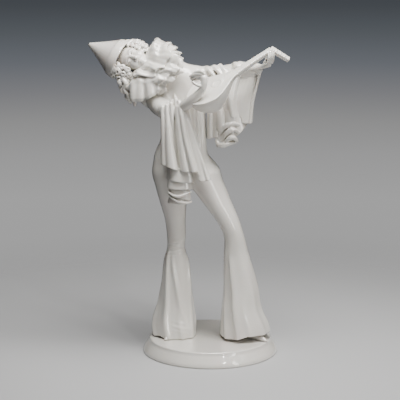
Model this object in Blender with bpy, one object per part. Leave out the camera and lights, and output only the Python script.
"""Glazed porcelain figurine: a lute player in a cone hat, ruff and flared trousers, on a round plinth.

Every piece that the caster would mould on its own and lute to its neighbours is an object of its own.
Numbers are millimetres until the mesh is made; MM turns them into metres. +X is the viewer's right, -Y is
the front, +Z is up, and the origin is the middle of the plinth's foot.
"""

import math

import bmesh
import bpy
import numpy as np
from mathutils import Matrix, Vector

MM = 0.001
CLEARANCE = 0.35  # glaze-joint gap between neighbouring castings
WIDE_CLEARANCE = 0.6  # the wider joint beside thin or sharp edges

# Driving dimensions
PLINTH_FOOT_RADIUS = 68.0
PLINTH_TOP_RADIUS = 60.6
PLINTH_HEIGHT = 14.4
HEM_LIFT = 3.0  # how far the left hem clears the plinth over the toe
HIP_HEIGHT = 178.0
WAIST_HEIGHT = 214.0
FRONT = Vector((0, -1, 0))

# Hat and head: the axis runs from the neck out through the crown
HEAD_UP = Vector((-31.4, 10.0, 12.2)).normalized()
HEAD_CENTRE = Vector((-78.5, 7.0, 291.5))
HAT_BASE = Vector((-91.5, 12.0, 295.4))
HAT_HEIGHT = 34.0
HAT_RADIUS = 21.5
LOCK_SIDE = 17.0  # the hanging locks' distance from the middle of the head

# Ruff: a fluted collar square to the neck
NECK_UP = Vector((-0.90, 0.10, 0.40)).normalized()
RUFF_CENTRE = Vector((-56.0, 6.0, 286.0))
NECK_RADIUS = 6.5

# Lute: LUTE_ALONG runs from the tail to the nut, LUTE_FACE out of the soundboard
LUTE_TAIL = Vector((-20.0, -36.0, 257.0))
LUTE_ALONG = Vector((77.0, 17.0, 48.0)).normalized()
LUTE_FACE = Vector((-0.45, -0.55, 0.70))
LUTE_BODY = 54.0
LUTE_NECK = 40.0
BOARD_THICKNESS = 1.6

# Voxel sizes for fusing overlapping shapes into one casting
CLOTH_VOXEL = 1.2
HAIR_VOXEL = 1.3
SKIN_VOXEL = 0.8

PORCELAIN = (0.80, 0.795, 0.775, 1.0)
GLAZE_ROUGHNESS = 0.12


# ---------------------------------------------------------------- geometry helpers


def glaze(name):
    """The white glaze, as a material of the piece's own."""
    material = bpy.data.materials.new(name + "_glaze")
    material.use_nodes = True
    shader = material.node_tree.nodes["Principled BSDF"]
    shader.inputs["Base Color"].default_value = PORCELAIN
    shader.inputs["Roughness"].default_value = GLAZE_ROUGHNESS
    shader.inputs["Metallic"].default_value = 0.0
    return material


def frame_of(axis, front):
    """(side, front, axis) as unit vectors at right angles, from an axis and a rough front direction."""
    up = Vector(axis).normalized()
    ahead = (Vector(front) - Vector(front).dot(up) * up).normalized()
    return ahead.cross(up).normalized() * -1, ahead, up


def curve_through(stations, count):
    """count rows on the Catmull-Rom curve through these stations; a station is any list of numbers."""
    knots = np.array(stations, float)
    padded = np.vstack([2 * knots[0] - knots[1], knots, 2 * knots[-1] - knots[-2]])
    rows = []
    for s in np.linspace(0, len(knots) - 1, count):
        i = min(int(s), len(knots) - 2)
        u = s - i
        a, b, c, d = padded[i : i + 4]
        rows.append(b + 0.5 * u * (c - a + u * (2 * a - 5 * b + 4 * c - d + u * (3 * (b - c) + d - a))))
    return np.array(rows)


def ring(centre, side, front, half_side, half_front, sides, radius=None):
    """One closed loop of points; angle 0 is the front and a quarter turn is the side."""
    points = []
    for k in range(sides):
        angle = 2 * math.pi * k / sides
        grow = radius(angle) if radius else 1.0
        points.append(
            Vector(centre)
            + front * (half_front * grow * math.cos(angle))
            + side * (half_side * grow * math.sin(angle))
        )
    return points


def upright_rings(stations, rows, sides, fold=None):
    """Level loops from stations (x, y, z, half width, half depth). fold(angle, share) scales the radius."""
    loops = []
    for i, (x, y, z, a, b) in enumerate(curve_through(stations, rows)):
        share = i / (rows - 1)
        radius = (lambda angle, s=share: fold(angle, s)) if fold else None
        loops.append(ring((x, y, z), Vector((1, 0, 0)), FRONT, a, b, sides, radius))
    return loops


def tube_rings(stations, rows, sides, front=FRONT, fold=None):
    """Loops square to the line through stations (x, y, z, half width, half depth)."""
    line = curve_through(stations, rows)
    loops = []
    for i, (x, y, z, a, b) in enumerate(line):
        ahead = line[min(i + 1, rows - 1)][:3] - line[max(i - 1, 0)][:3]
        side, face, _ = frame_of(ahead, front)
        share = i / (rows - 1)
        radius = (lambda angle, s=share: fold(angle, s)) if fold else None
        loops.append(ring((x, y, z), side, face, a, b, sides, radius))
    return loops


def rounded(stations, bulge=0.8):
    """The stations with a small ring added at each end, so that a tube ends round."""
    first, second = np.array(stations[0], float), np.array(stations[1], float)
    last, before = np.array(stations[-1], float), np.array(stations[-2], float)

    def tip(end, inner):
        away = (end[:3] - inner[:3]) / np.linalg.norm(end[:3] - inner[:3])
        reach = min(end[3], end[4]) * bulge
        return [*(end[:3] + away * reach), end[3] * 0.45, end[4] * 0.45]

    return [tip(first, second), *stations, tip(last, before)]


def lofted(loops, closed_round=False):
    """A bmesh skin over loops of equal length, with a fan over each end unless the loops run in a circle."""
    shape = bmesh.new()
    made = [[shape.verts.new(p) for p in loop] for loop in loops]
    pairs = list(zip(made, made[1:]))
    if closed_round:
        pairs.append((made[-1], made[0]))
    for low, high in pairs:
        for k in range(len(low)):
            after = (k + 1) % len(low)
            shape.faces.new((low[k], low[after], high[after], high[k]))
    if not closed_round:
        for loop in (made[0], made[-1]):
            middle = shape.verts.new(sum((v.co for v in loop), Vector()) / len(loop))
            for k in range(len(loop)):
                shape.faces.new((loop[k], loop[(k + 1) % len(loop)], middle))
    bmesh.ops.recalc_face_normals(shape, faces=shape.faces)
    return shape


def piece(name, *shapes):
    """An object from one or more bmesh shapes in millimetres, smooth shaded with its own glaze."""
    mesh = bpy.data.meshes.new(name)
    joined = bmesh.new()
    for shape in shapes:
        part = bpy.data.meshes.new("part")
        shape.to_mesh(part)
        shape.free()
        joined.from_mesh(part)
        bpy.data.meshes.remove(part)
    bmesh.ops.transform(joined, matrix=Matrix.Scale(MM, 4), verts=joined.verts)
    joined.to_mesh(mesh)
    joined.free()
    mesh.shade_smooth()
    mesh.set_sharp_from_angle(angle=math.radians(40))
    mesh.materials.append(glaze(name))
    made = bpy.data.objects.new(name, mesh)
    bpy.context.scene.collection.objects.link(made)
    return made


def evaluated_mesh(source):
    graph = bpy.context.evaluated_depsgraph_get()
    return bpy.data.meshes.new_from_object(source.evaluated_get(graph), depsgraph=graph)


def melt(target, voxel, triangles):
    """Fuses overlapping shapes of one piece into one skin, then thins it to about this many triangles."""
    remesh = target.modifiers.new("fuse", "REMESH")
    remesh.mode = "VOXEL"
    remesh.voxel_size = voxel * MM
    soften = target.modifiers.new("soften", "SMOOTH")
    soften.factor = 0.5
    soften.iterations = 3
    bpy.context.view_layer.update()
    count = len(evaluated_mesh(target).polygons) * 2
    thin = target.modifiers.new("thin", "DECIMATE")
    thin.ratio = min(1.0, triangles / count)
    thin.use_collapse_triangulate = True
    settle(target)
    return target


def settle(target):
    """Applies the modifiers and keeps the largest body, so that a cut leaves one solid."""
    bpy.context.view_layer.update()
    mesh = evaluated_mesh(target)
    target.modifiers.clear()
    target.data = mesh
    shape = bmesh.new()
    shape.from_mesh(mesh)
    left, bodies = set(shape.verts), []
    while left:
        start = left.pop()
        body, edge = {start}, [start]
        while edge:
            for link in edge.pop().link_edges:
                for vert in link.verts:
                    if vert not in body:
                        body.add(vert)
                        edge.append(vert)
        left -= body
        bodies.append(body)
    keep = max(bodies, key=len)
    bmesh.ops.delete(shape, geom=[v for v in shape.verts if v not in keep], context="VERTS")
    shape.to_mesh(mesh)
    shape.free()
    return target


def make_room(target, *neighbours, gap=CLEARANCE):
    """Cuts the target back to leave the glaze joint around each neighbour."""
    for neighbour in neighbours:
        mesh = evaluated_mesh(neighbour)
        shape = bmesh.new()
        shape.from_mesh(mesh)
        bmesh.ops.triangulate(shape, faces=shape.faces)
        shape.normal_update()
        moves = [(v, v.normal.copy()) for v in shape.verts]
        for vert, normal in moves:
            vert.co += normal * gap * MM
        shape.to_mesh(mesh)
        shape.free()
        cutter = bpy.data.objects.new("cutter", mesh)
        bpy.context.scene.collection.objects.link(cutter)
        cut = target.modifiers.new("room", "BOOLEAN")
        cut.operation = "DIFFERENCE"
        cut.object = cutter
        cut.use_self = True
        settle(target)
        bpy.data.objects.remove(cutter)
    return target


def ridges(*list_of_ridges):
    """A fold function: each ridge is (degrees round from the front, half width in degrees, height, start)."""

    def fold(angle, share):
        total = 1.0
        for where, width, height, start in list_of_ridges:
            turn = (math.degrees(angle) - where + 180) % 360 - 180
            grow = max(0.0, (share - start) / (1 - start))
            total += height * grow * math.exp(-((turn / width) ** 2))
        return total

    return fold


# ---------------------------------------------------------------- plinth, shoes and trousers


def plinth():
    """A round plinth with a sloping side, a short upright foot edge and a rounded top rim."""
    profile = [
        (0.0, 0.0),
        (PLINTH_FOOT_RADIUS - 0.8, 0.0),
        (PLINTH_FOOT_RADIUS, 1.0),
        (PLINTH_FOOT_RADIUS - 0.6, 3.6),
        (PLINTH_FOOT_RADIUS - 4.4, 8.8),
        (PLINTH_TOP_RADIUS + 0.7, PLINTH_HEIGHT - 1.0),
        (PLINTH_TOP_RADIUS - 0.6, PLINTH_HEIGHT - 0.1),
        (PLINTH_TOP_RADIUS - 3.0, PLINTH_HEIGHT),
        (0.0, PLINTH_HEIGHT),
    ]
    shape = bmesh.new()
    line = [shape.verts.new((r, 0, z)) for r, z in profile]
    edges = [shape.edges.new(pair) for pair in zip(line, line[1:])]
    bmesh.ops.spin(
        shape, geom=line + edges, cent=(0, 0, 0), axis=(0, 0, 1), angle=2 * math.pi, steps=44, use_merge=True
    )
    bmesh.ops.remove_doubles(shape, verts=shape.verts, dist=0.001)
    bmesh.ops.recalc_face_normals(shape, faces=shape.faces)
    return piece("plinth", shape)


def shoe(name, heel, toe, width):
    """A low pointed slipper from heel to toe, flat on the plinth."""
    floor = PLINTH_HEIGHT + CLEARANCE
    ahead = Vector((*toe, 0)) - Vector((*heel, 0))
    profile = (
        (0.0, 0.55, 7.5), (0.12, 0.85, 9.0), (0.4, 0.9, 8.0), (0.7, 1.0, 5.0), (0.9, 0.75, 3.6),
        (1.0, 0.35, 2.6),
    )
    side = ahead.normalized().cross(Vector((0, 0, 1)))
    loops = []
    for share, wide, tall in profile:
        centre = Vector((*heel, floor)) + ahead * share
        arch = [(-1, 0), (-1, 0.45), (-0.6, 0.9), (0, 1), (0.6, 0.9), (1, 0.45), (1, 0)]
        loops.append([centre + side * (x * wide * width) + Vector((0, 0, y * tall)) for x, y in arch])
    return piece(name, lofted(loops))


RIGHT_LEG = (
    (-39.8, 3, HIP_HEIGHT - CLEARANCE, 16.9, 19.5),
    (-38.6, 4, 164, 15.2, 17.0),
    (-37.0, 5, 150, 13.0, 14.6),
    (-35.2, 6, 134, 10.4, 11.8),
    (-34.2, 6, 118, 9.5, 10.6),
    (-34.5, 6, 105, 9.0, 9.8),
    (-34.5, 6.5, 92, 12.6, 11.6),
    (-34.3, 7, 71, 15.8, 14.6),
    (-34.8, 7.5, 50, 18.0, 17.6),
    (-36.0, 8, 33, 22.0, 21.6),
    (-35.2, 8, 22, 23.4, 24.4),
    (-34.6, 8, PLINTH_HEIGHT + CLEARANCE, 22.6, 24.8),
)
RIGHT_FOLDS = ridges(
    (-38, 17, 0.10, 0.52), (2, 13, 0.07, 0.55), (52, 20, 0.08, 0.55), (118, 22, 0.10, 0.5),
    (180, 24, 0.10, 0.5), (-112, 24, 0.08, 0.5),
)

LEFT_LEG = (
    (-5.6, 0, HIP_HEIGHT - CLEARANCE, 16.7, 19.0),
    (0.2, -2, 165, 16.4, 18.0),
    (6.4, -5, 154, 14.6, 16.4),
    (14.4, -8, 141, 12.5, 14.2),
    (20.0, -10, 130, 10.8, 12.4),
    (24.0, -10, 118, 10.3, 11.4),
    (25.7, -9, 104, 12.4, 12.0),
    (28.0, -8, 86, 15.3, 14.4),
    (30.4, -7, 66, 17.6, 17.0),
    (31.2, -6.5, 46, 20.0, 19.6),
    (34.2, -6, 28, 24.2, 22.0),
    (34.8, -6, PLINTH_HEIGHT + CLEARANCE, 24.4, 22.8),
)
LEFT_FOLDS = ridges(
    (-28, 13, 0.12, 0.45), (-62, 12, 0.07, 0.5), (38, 30, 0.05, 0.5), (110, 22, 0.09, 0.5),
    (165, 22, 0.10, 0.5), (-130, 24, 0.09, 0.5),
)


def trouser_leg(name, stations, folds, lift, lift_angle):
    """A leg that flares from below the knee to a folded hem; lift raises the hem on one side."""
    loops = upright_rings(stations, 18, 24, folds)
    for k, point in enumerate(loops[-1]):
        turn = 2 * math.pi * k / len(loops[-1]) - math.radians(lift_angle)
        point.z += lift * max(0.0, math.cos(turn))
    return piece(name, lofted(loops))


def hips():
    """The seat of the trousers, from the split of the legs up to the waist."""
    stations = (
        (-23.0, 2, HIP_HEIGHT, 33.4, 20.0),
        (-25.6, 2, 186, 31.4, 20.6),
        (-28.2, 2, 196, 28.8, 19.6),
        (-28.6, 2, 206, 25.2, 17.6),
        (-27.2, 2, WAIST_HEIGHT, 22.8, 16.2),
    )
    return piece("hips", lofted(upright_rings(stations, 7, 28)))


# ---------------------------------------------------------------- body, sleeves and arms


def bodice():
    """The close-fitting top from the waist to the base of the neck, leaning to the figure's right."""
    stations = (
        (-27.0, 2, WAIST_HEIGHT + CLEARANCE, 22.5, 16.0),
        (-26.0, 3, 227, 21.5, 14.5),
        (-28.0, 5, 242, 22.5, 15.5),
        (-30.5, 7, 257, 25.0, 16.5),
        (-32.5, 8, 269, 25.5, 16.0),
        (-34.0, 8, 279, 21.0, 13.5),
        (-36.0, 8, 286, 12.0, 8.5),
        (-37.0, 8, 288, 5.0, 4.0),
    )
    return piece("bodice", lofted(upright_rings(stations, 14, 24)))


def right_upper_sleeve():
    stations = (
        (-60, 6, 261, 13, 13),
        (-53, -6, 255, 13.5, 13),
        (-43.5, -17, 249, 12.5, 12),
        (-34.5, -27, 246, 10, 9.5),
    )
    return piece("right_upper_sleeve", lofted(tube_rings(rounded(stations), 10, 16, front=(0, 0, 1))))


def slanted(loops, drop):
    """The loops with the last two sheared, so that the hem rises by drop from its middle to the far side."""
    for loop, share in ((loops[-2], 0.5), (loops[-1], 1.0)):
        middle = sum(loop, Vector()) / len(loop)
        reach = max(p.x for p in loop) - middle.x
        for point in loop:
            point.z += drop * share * (point.x - middle.x) / reach
    return loops


RIGHT_DRAPE_FOLDS = ridges(
    (-42, 24, 0.16, 0.0), (22, 20, 0.20, 0.0), (75, 16, 0.16, 0.15), (180, 30, 0.10, 0.0),
    (-130, 25, 0.12, 0.0),
)


def right_sleeve_drape():
    """The wide lower sleeve, falling in deep folds from the forearm."""
    stations = (
        (-35.0, -27, 256, 9.5, 7.0),
        (-34.2, -27, 247, 12.8, 9.0),
        (-32.6, -26, 228, 14.6, 9.4),
        (-29.6, -26, 208, 17.0, 10.0),
        (-26.2, -26, 190, 20.0, 10.8),
    )
    loops = upright_rings(stations, 9, 30, RIGHT_DRAPE_FOLDS)
    return piece("right_sleeve_drape", lofted(slanted(loops, -7.5)))


def cascade(name, tiers, folds, sides=24):
    """The stepped hem of a sleeve: each tier is (x, y, top, bottom, half width, half depth, slant)."""
    shapes = []
    for x, y, top, bottom, a, b, slant in tiers:
        loops = upright_rings(((x, y, top, a * 0.86, b * 0.86), (x, y, bottom, a, b)), 3, sides, folds)
        shapes.append(lofted(slanted(loops, slant)))
    return piece(name, *shapes)


CASCADE_FOLDS = ridges((-30, 30, 0.1, 0), (35, 25, 0.1, 0))


def right_cascade():
    tiers = (
        (-28.0, -25, 193, 178.5, 16.4, 9.4, -1.2),
        (-29.4, -24, 181, 170.0, 12.2, 8.8, -0.6),
        (-29.6, -23, 173, 163.5, 11.6, 8.4, -1.8),
        (-29.6, -22, 166, 154.5, 11.4, 8.0, 1.0),
    )
    return melt(cascade("right_sleeve_cascade", tiers, CASCADE_FOLDS), CLOTH_VOXEL, 480)


def finger(points, radius):
    """A tapering finger through these points."""
    taper = np.linspace(radius, radius * 0.8, len(points))
    return lofted(tube_rings(rounded([(*p, r, r) for p, r in zip(points, taper)]), 7, 8, front=(0.3, 0.2, 1)))


def right_forearm():
    stations = (
        (-30, -40, 248, 7.0, 6.8),
        (-22.5, -44, 252, 6.2, 6.2),
        (-14, -47, 260, 5.2, 5.4),
        (-5.5, -48.5, 269, 4.1, 4.4),
    )
    return piece("right_forearm", lofted(tube_rings(rounded(stations), 9, 14, front=(-1, -1, 1))))


def right_hand():
    """The plucking hand, bent back at the wrist over the strings."""
    back = ((-5.2, -48.4, 270.6, 4.2, 3.0), (-5.4, -48, 276, 5.2, 3.0), (-7.5, -46.5, 281, 5.0, 2.7))
    palm = lofted(tube_rings(rounded(back), 7, 12))
    fingers = []
    for k in range(4):
        off = k - 1.5
        knuckle = (-8.5 + 0.4 * k, -45.2 + 1.8 * off, 282.5 - 1.7 * k)
        joint = (-13.5, -42.6 + 1.6 * off, 284.6 - 2.0 * k)
        tip = (-18.0 + 0.4 * k, -41.0 + 1.4 * off, 282.2 - 2.1 * k)
        fingers.append(finger((knuckle, joint, tip), 1.55))
    thumb = finger(((-6.5, -46.5, 274), (-11.5, -45.5, 274.5), (-16.5, -43.5, 276.5)), 1.7)
    return melt(piece("right_hand", palm, *fingers, thumb), SKIN_VOXEL, 560)


def left_upper_sleeve():
    stations = (
        (-22, 9, 281, 11, 11), (-8, 12, 279, 9.5, 9.5), (6, 17, 277, 9.2, 9.0), (18, 16, 279, 9.0, 8.4),
        (30, 8, 283, 8.0, 7.4), (40, 0, 285, 6.6, 6.2),
    )
    return piece("left_upper_sleeve", lofted(tube_rings(rounded(stations), 14, 16, front=(0, 0, 1))))


LEFT_DRAPE_FOLDS = ridges(
    (-35, 18, 0.14, 0.0), (8, 14, 0.12, 0.0), (45, 16, 0.12, 0.0), (88, 14, 0.14, 0.0), (150, 22, 0.10, 0.0),
    (-140, 25, 0.10, 0.0),
)


def left_sleeve_drape():
    """The wide sleeve below the raised arm, flattened front to back."""
    stations = (
        (24.0, 3, 287, 27.0, 8.0),
        (23.0, 4, 272, 24.5, 10.0),
        (21.0, 4, 256, 21.6, 11.0),
        (19.2, 4, 242, 20.0, 11.0),
        (18.6, 4, 235, 19.4, 11.0),
    )
    loops = upright_rings(stations, 9, 30, LEFT_DRAPE_FOLDS)
    return piece("left_sleeve_drape", lofted(slanted(loops, -4.5)))


def left_cascade():
    tiers = (
        (20.0, 3, 236, 226.0, 16.5, 9.6, 2.0),
        (17.6, 2, 229, 219.5, 13.0, 8.8, 3.0),
        (16.6, 1, 222, 213.0, 10.6, 8.0, 3.0),
        (14.8, 1, 217, 208.5, 8.0, 7.0, 2.0),
    )
    return melt(cascade("left_sleeve_cascade", tiers, CASCADE_FOLDS), CLOTH_VOXEL, 480)


def side_panel():
    """The inner fall of the left sleeve, a pleated panel against the waist."""
    stations = (
        (3.5, 0, 262, 5.5, 4.0),
        (2.6, -1, 244, 5.6, 4.4),
        (2.0, -1, 230, 5.8, 4.6),
        (2.0, -1, 217.5, 6.2, 5.0),
    )
    return piece("left_sleeve_inner_fall", lofted(upright_rings(stations, 6, 16, ridges((0, 30, 0.15, 0)))))


def left_hand():
    """The fingering hand, wrapped up round the neck of the lute from below."""
    back = ((43, -4, 287, 4.0, 3.6), (50, -9, 289.0, 4.6, 3.4), (56.5, -12, 291, 4.4, 3.0))
    palm = lofted(tube_rings(rounded(back), 7, 12, front=(0, 0, 1)))
    fingers = []
    for k in range(4):
        knuckle = (54.5 + 2.2 * k, -13.5, 291.5 + 0.5 * k)
        joint = (56.0 + 2.0 * k, -21.5, 293.5 + 0.9 * k)
        tip = (55.5 + 2.0 * k, -25.0, 299.0 + 1.1 * k)
        fingers.append(finger((knuckle, joint, tip), 1.5))
    thumb = finger(((47, -7, 290.5), (49.5, -9, 296.0), (52.0, -11, 300.5)), 1.7)
    return melt(piece("left_hand", palm, *fingers, thumb), SKIN_VOXEL, 560)


# ---------------------------------------------------------------- head, hair, hat and ruff


def nose_at(height):
    """The radius round the face at a height: a plain wedge of a nose on the front, and round elsewhere."""
    nose = 0.16 * max(0.0, 1.0 - abs(height + 3.0) / 6.0)
    return lambda angle: 1 + nose * math.exp(-((min(angle, 2 * math.pi - angle) / 0.16) ** 2))


def head():
    """Head and neck in one casting; the face looks forward, square to HEAD_UP."""
    side, face, up = frame_of(HEAD_UP, (0, -0.95, 0.3))
    profile = (
        (-17.5, 4.0, 4.6, 6.5), (-15.0, 7.4, 8.2, 4.6), (-10.0, 10.4, 11.6, 2.2), (-4.0, 12.4, 13.6, 0.8),
        (4.0, 13.2, 14.8, 0.0), (10.0, 12.2, 13.8, -0.6), (15.0, 8.4, 9.8, -0.8), (17.6, 3.4, 4.0, -0.8),
    )
    loops = []
    for height, wide, deep, forward in curve_through(profile, 15):
        centre = HEAD_CENTRE + up * height + face * forward
        loops.append(ring(centre, side, face, wide, deep, 24, nose_at(height)))
    neck_low = RUFF_CENTRE - NECK_UP * 7.0
    neck_high = HEAD_CENTRE - HEAD_UP * 6.0
    neck = ((*neck_low, 7.6, 7.6), (*RUFF_CENTRE, NECK_RADIUS, NECK_RADIUS), (*neck_high, 6.6, 6.6))
    return melt(piece("head", lofted(loops), lofted(tube_rings(neck, 6, 16))), SKIN_VOXEL + 0.1, 800)


def cone_hat():
    """A tall cone with a turned-up band, hollow where the crown of the head goes in."""
    side, face, up = frame_of(HEAD_UP, FRONT)
    outline = (
        (0.0, HAT_HEIGHT + 0.6), (0.9, HAT_HEIGHT + 0.2), (1.9, HAT_HEIGHT - 1.4), (10.6, HAT_HEIGHT * 0.53),
        (19.0, 4.0), (HAT_RADIUS - 0.4, 1.6), (HAT_RADIUS, -0.6), (HAT_RADIUS - 1.2, -2.0),
        (HAT_RADIUS - 3.2, -1.2), (15.2, 4.5), (8.4, 9.5), (0.0, 10.5),
    )
    loops = [ring(HAT_BASE + up * z, side, face, max(r, 0.02), max(r, 0.02), 28) for r, z in outline]
    return piece("cone_hat", lofted(loops))


def ruff_tier(name, centre, inner, outer, flutes, depth, droop, thick, turn):
    """A fluted collar tier round the neck; it droops away from the head towards its edge."""
    side, face, up = frame_of(NECK_UP, FRONT)
    steps = flutes * 5
    loops = []
    for k in range(steps):
        angle = 2 * math.pi * k / steps
        away = face * math.cos(angle) + side * math.sin(angle)
        under, over = [], []
        for share in (0.0, 0.45, 0.8, 1.0):
            radius = inner + (outer - inner) * share
            wave = depth * share * math.sin(flutes * angle + turn)
            point = centre + away * radius + up * (wave - droop * share**1.4)
            half = up * thick * (0.5 - 0.12 * share)
            over.append(point + half)
            under.append(point - half)
        loops.append(over + under[::-1])
    return piece(name, lofted(loops, closed_round=True))


def curls(name, spots, triangles):
    """Hair as rounded locks: each spot is (up, side, front, radius) about the head."""
    side, face, up = frame_of(HEAD_UP, (0, -0.95, 0.3))
    shapes = []
    for high, across, forward, radius in spots:
        shape = bmesh.new()
        centre = HEAD_CENTRE + up * high + side * across + face * forward
        bmesh.ops.create_icosphere(shape, subdivisions=2, radius=radius, matrix=Matrix.Translation(centre))
        shapes.append(shape)
    return melt(piece(name, *shapes), HAIR_VOXEL, triangles)


def temple_curls(name, sign):
    """The curls at one temple, from the hat brim down to the jaw; sign is +1 on the figure's left."""
    spots = [
        (10.5 * math.cos(angle), sign * 17.0 * math.sin(angle), 5.5 - 2.0 * (k % 2), 6.4 - 0.8 * (k % 2))
        for k, angle in enumerate(np.linspace(0.75, 2.1, 6))
    ]
    return curls(name, spots, 320)


def back_curls():
    """The hair behind the ears and over the nape."""
    spots = [
        (7.0 - 5.5 * row, 16.0 * math.sin(angle), 15.0 * math.cos(angle), 6.0)
        for row in range(4)
        for angle in np.linspace(1.9, 4.38, 7)
    ]
    return curls("back_curls", spots, 480)


def hanging_curls():
    """Loose locks that hang from below the ear."""
    side, _, up = frame_of(HEAD_UP, (0, -0.95, 0.3))
    start = HEAD_CENTRE - side * LOCK_SIDE
    shapes = []
    for k, length in enumerate((15.0, 19.0, 13.0)):
        root = start + up * (5.0 - 5.0 * k) + Vector((0, 3.0 - 3.0 * k, 0))
        sway = Vector((1.6, 0, 0)) * (k - 1)
        bend = root + Vector((1.0, 0, -length * 0.5)) + sway
        end = root + Vector((-0.6, 0, -length)) + sway * 1.6
        stations = [(*p, radius, radius) for p, radius in ((root, 3.6), (bend, 3.1), (end, 2.6))]
        shapes.append(lofted(tube_rings(rounded(stations), 7, 10)))
    return melt(piece("hanging_curls", *shapes), 1.0, 500)


# ---------------------------------------------------------------- lute


# (distance from the tail, half width) of the body
BODY_OUTLINE = (
    (0.0, 3.0), (2.0, 9.0), (6.0, 14.0), (13.0, 18.6), (21.0, 20.2), (31.0, 17.4), (41.0, 12.0), (49.0, 7.0),
    (LUTE_BODY, 4.6),
)


def lute_bowl():
    """The pear-shaped back of the lute, a deep bowl under the soundboard."""
    side, face, along = frame_of(LUTE_ALONG, LUTE_FACE)
    section = [(math.cos(a), 0.86 * math.sin(a)) for a in np.linspace(0, math.pi, 12)]
    loops = []
    for s, w in curve_through(BODY_OUTLINE, 15):
        base = LUTE_TAIL + along * s - face * (BOARD_THICKNESS / 2 + CLEARANCE)
        loops.append([base + side * (w * x) - face * (w * y) for x, y in section])
    return piece("lute_bowl", lofted(loops))


def lute_soundboard():
    """The flat top of the lute, with its edge standing a little proud of the bowl."""
    side, face, along = frame_of(LUTE_ALONG, LUTE_FACE)
    loops = []
    for s, w in curve_through(BODY_OUTLINE, 15):
        base = LUTE_TAIL + along * s
        half = face * BOARD_THICKNESS / 2
        wide = side * (w + 0.7)
        loops.append([base + wide + half, base - wide + half, base - wide - half, base + wide - half])
    return piece("lute_soundboard", lofted(loops))


def lute_neck():
    side, face, along = frame_of(LUTE_ALONG, LUTE_FACE)
    loops = []
    for s, w, d in ((CLEARANCE, 4.4, 5.6), (12, 3.8, 4.4), (28, 3.3, 3.8), (LUTE_NECK, 2.9, 3.6)):
        base = LUTE_TAIL + along * (LUTE_BODY + s) + face * BOARD_THICKNESS / 2
        round_back = [(math.cos(a) * w, -math.sin(a) * d) for a in np.linspace(0, math.pi, 9)]
        loops.append([base + side * x + face * y for x, y in round_back])
    return piece("lute_neck", lofted(loops))


def pegbox():
    """The peg head, bent back from the nut and tapering to a square end."""
    _, face, along = frame_of(LUTE_ALONG, LUTE_FACE)
    start = LUTE_TAIL + along * (LUTE_BODY + LUTE_NECK + CLEARANCE) - face * 0.6
    end = start + Vector((19.4, 3.0, -11.2))
    out = (end - start).normalized()
    cross = out.cross(face).normalized()
    back = cross.cross(out).normalized()
    square = ((-1, -1), (1, -1), (1, 1), (-1, 1))
    loops = []
    for share, half, deep in ((0.0, 2.8, 2.1), (0.15, 2.9, 2.4), (0.6, 2.5, 2.1), (1.0, 2.3, 1.9)):
        centre = start + (end - start) * share + out * CLEARANCE
        loops.append([centre + cross * x * half + back * y * deep for x, y in square])
    return piece("lute_pegbox", lofted(loops))


def bridge():
    side, face, along = frame_of(LUTE_ALONG, LUTE_FACE)
    base = LUTE_TAIL + along * 11.0 + face * (BOARD_THICKNESS / 2 + CLEARANCE)
    loops = []
    for x in (-7.5, -6.0, 6.0, 7.5):
        tall = 1.5 if abs(x) < 7 else 0.8
        corners = ((-1.2, 0), (1.2, 0), (0.8, tall), (-0.8, tall))
        loops.append([base + side * x + along * u + face * v for u, v in corners])
    return piece("lute_bridge", lofted(loops))


# ---------------------------------------------------------------- assembly


def main():
    for old in list(bpy.data.objects):
        bpy.data.objects.remove(old)
    plinth()
    right_leg = trouser_leg("right_trouser_leg", RIGHT_LEG, RIGHT_FOLDS, 0.0, 0.0)
    left_leg = trouser_leg("left_trouser_leg", LEFT_LEG, LEFT_FOLDS, HEM_LIFT, 50.0)
    make_room(right_leg, shoe("right_shoe", (-33, 14), (-42.5, -20), 6.2), gap=WIDE_CLEARANCE)
    make_room(left_leg, shoe("left_shoe", (32, 4), (55.5, -24), 6.4), gap=WIDE_CLEARANCE)
    seat = hips()
    body = bodice()
    board = lute_soundboard()
    bowl = lute_bowl()
    neck = lute_neck()
    make_room(pegbox(), neck)
    bridge()
    skull = make_room(head(), body)
    hat = make_room(cone_hat(), skull)
    lower = ruff_tier("ruff_lower", RUFF_CENTRE - NECK_UP * 5.6, 12.0, 33.0, 9, 4.6, 9.0, 6.4, 0.5)
    make_room(lower, body, skull)
    upper = ruff_tier("ruff_upper", RUFF_CENTRE + NECK_UP * 5.0, 9.0, 30.0, 8, 4.6, 3.0, 6.4, 1.3)
    make_room(upper, skull, body, lower)
    left_curls = make_room(temple_curls("left_temple_curls", 1), skull, hat, upper)
    right_curls = make_room(temple_curls("right_temple_curls", -1), skull, hat, upper)
    nape = make_room(back_curls(), skull, hat, upper, left_curls, right_curls)
    make_room(hanging_curls(), skull, hat, upper, lower, right_curls, nape)
    right_sleeve = make_room(right_upper_sleeve(), body, lower, upper, gap=WIDE_CLEARANCE * 1.4)
    forearm = make_room(right_forearm(), right_sleeve, board, bowl)
    make_room(right_hand(), forearm, board)
    drape = right_sleeve_drape()
    make_room(drape, right_sleeve, forearm, body, seat, bowl, board, right_leg, left_leg)
    make_room(right_cascade(), drape, seat, right_leg, left_leg)
    left_sleeve = make_room(left_upper_sleeve(), body, bowl, board, neck, lower, gap=WIDE_CLEARANCE)
    fingers = make_room(left_hand(), neck, left_sleeve)
    left_drape = make_room(left_sleeve_drape(), left_sleeve, body, bowl, board, neck, fingers)
    tiers = make_room(left_cascade(), left_drape, body)
    make_room(side_panel(), body, left_drape, bowl, tiers, left_sleeve)


main()
